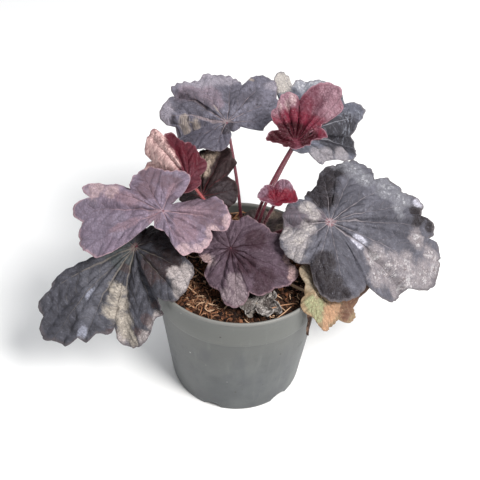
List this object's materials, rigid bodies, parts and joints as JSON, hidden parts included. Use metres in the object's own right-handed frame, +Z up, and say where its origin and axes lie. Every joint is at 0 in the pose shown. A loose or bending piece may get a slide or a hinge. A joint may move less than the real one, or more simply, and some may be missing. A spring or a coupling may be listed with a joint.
{
  "type": "heuchera plant in its pot",
  "caption": "Garden perennial with lobed, waved purple-grey leaves on crimson stalks, growing in a round grey nursery pot filled with dark compost.",
  "frame": {"origin": "centre of the pot's base, on the plane the pot stands on", "axes": "+Z up along the pot's axis; -Y towards the side of the plant that carries the front leaf; +X towards the side of the largest leaf"},
  "size_m": [0.2692, 0.1865, 0.2052],
  "materials": {
    "pot_plastic": "satin grey moulded plastic with a film of dust",
    "compost": "loose dark peat compost with tan wood fibres",
    "leaf_grey": "matt blue-grey leaf with silver mottling",
    "leaf_mauve": "matt mauve leaf with pink margin",
    "leaf_plum": "matt plum leaf with darker veins",
    "leaf_crimson": "young crimson and pink leaf, slightly glossy",
    "leaf_dark": "matt dark slate leaf with dead patches",
    "leaf_fading": "drying leaf, pale green to orange brown",
    "leaf_dry": "dry crumpled grey leaf"
  },
  "bodies": {
    "root": {"pot": "pot_plastic", "soil": "compost", "leaf_dark_back": "leaf_dark", "leaf_fading": "leaf_fading", "leaf_front": "leaf_plum", "leaf_left": "leaf_mauve", "leaf_low_left": "leaf_dark", "leaf_right": "leaf_grey", "leaf_small_back": "leaf_plum", "leaf_upper_left": "leaf_grey", "leaf_upper_right": "leaf_grey", "leaf_withered": "leaf_dry", "leaf_young_red": "leaf_crimson", "leaf_young_small": "leaf_crimson", "leaf_young_top": "leaf_crimson"}
  },
  "joints": []
}
